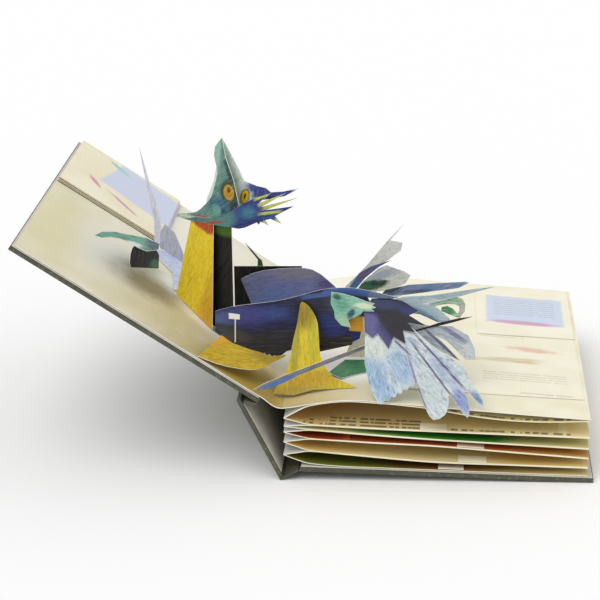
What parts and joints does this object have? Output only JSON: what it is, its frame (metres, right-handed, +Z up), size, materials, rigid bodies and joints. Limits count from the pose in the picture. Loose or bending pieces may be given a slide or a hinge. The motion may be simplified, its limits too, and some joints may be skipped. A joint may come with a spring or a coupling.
{
  "type": "pop-up book",
  "caption": "Thick pop-up book lying open with its front cover raised, a folded-card crested bird standing across the gutter and closed spreads stacked under the right-hand page.",
  "frame": {"origin": "centre of the bounding box at the surface the open book lies on", "axes": "+X across the two open pages towards the page stack, +Y from the near edge to the far edge, +Z up"},
  "size_m": [0.3822, 0.272, 0.2234],
  "materials": {
    "cover_cloth": "matte laminated",
    "lining_grey": "matte",
    "page_cream": "smooth uncoated",
    "stored_tan": "smooth uncoated",
    "card_yellow": "printed, matte",
    "card_teal": "printed, matte",
    "card_navy": "printed, matte",
    "card_violet": "printed, matte",
    "card_pale_blue": "printed, matte",
    "card_pale_grey": "printed, matte",
    "card_green": "printed, matte",
    "card_black": "printed, matte"
  },
  "bodies": {
    "book_block": {"back_cover_board": "cover_cloth", "back_hinge_strip": "cover_cloth", "back_endpaper": "lining_grey", "page_block": "page_cream", "spread_2_folded_popup": "stored_tan", "spread_3_folded_popup": "stored_tan", "spread_4_folded_popup": "stored_tan", "spread_5_folded_popup": "stored_tan", "spread_6_folded_popup": "stored_tan", "spread_2_glue_tab": "page_cream", "spread_4_glue_tab": "page_cream", "spread_5_glue_tab": "page_cream", "spread_6_glue_tab": "page_cream", "right_page": "page_cream", "right_large_flap": "page_cream", "right_small_flap": "page_cream", "near_leg": "card_yellow", "far_leg": "card_yellow", "green_leaf": "card_green", "long_grey_feather": "card_violet", "wing_coverts": "card_navy", "near_tail_fan": "card_pale_blue", "middle_tail_fan": "card_pale_blue", "dark_tail_feather": "card_black", "curled_tail_tip": "card_green", "upper_tail_fan": "card_pale_grey", "purple_tail_feather": "card_violet"},
    "front_cover": {"front_cover_board": "cover_cloth", "front_endpaper": "lining_grey", "left_page": "page_cream", "left_flap_1": "page_cream", "left_flap_2": "page_cream", "left_flap_3": "page_cream", "left_flap_4": "page_cream", "neck_fold": "card_yellow", "head_near_mask": "card_teal", "head_far_mask": "card_teal", "head_cheek_plume": "card_violet", "near_flank": "card_navy", "flank_slot_tab": "card_pale_grey", "belly_card": "card_black", "far_flank": "card_violet", "inner_cross_card": "card_black", "back_quill": "card_black", "left_foot": "card_yellow", "green_ruff": "card_teal", "left_tall_feather": "card_violet", "left_blue_sheet": "card_pale_blue", "left_grey_leaf": "card_pale_grey", "left_dark_band": "card_black", "left_claw": "card_pale_grey"},
    "spine": {"spine_board": "cover_cloth", "spine_lining": "lining_grey", "front_hinge_strip": "cover_cloth"}
  },
  "joints": [
    {"name": "cover_fold", "type": "hinge", "parent": "book_block", "child": "front_cover", "pos_m": [-0.0153, 0, 0.05166], "axis": [0, -1, 0], "range_deg": [-137, 0], "deforming": ["near_leg", "far_leg", "green_leaf", "long_grey_feather", "wing_coverts", "near_tail_fan", "middle_tail_fan", "dark_tail_feather", "curled_tail_tip", "upper_tail_fan", "purple_tail_feather", "neck_fold", "head_near_mask", "head_far_mask", "head_cheek_plume", "near_flank", "flank_slot_tab", "belly_card", "far_flank", "inner_cross_card", "back_quill", "left_foot", "green_ruff", "left_tall_feather", "left_blue_sheet", "left_grey_leaf", "left_dark_band", "left_claw"]},
    {"name": "spine_swing", "type": "hinge", "parent": "book_block", "child": "spine", "pos_m": [-0.01569, 0, 0.00304], "axis": [0, -1, 0], "range_deg": [-22, 0]}
  ],
  "couplings": [
    {"joint": "spine_swing", "follows": "cover_fold", "ratio": 0.16}
  ]
}
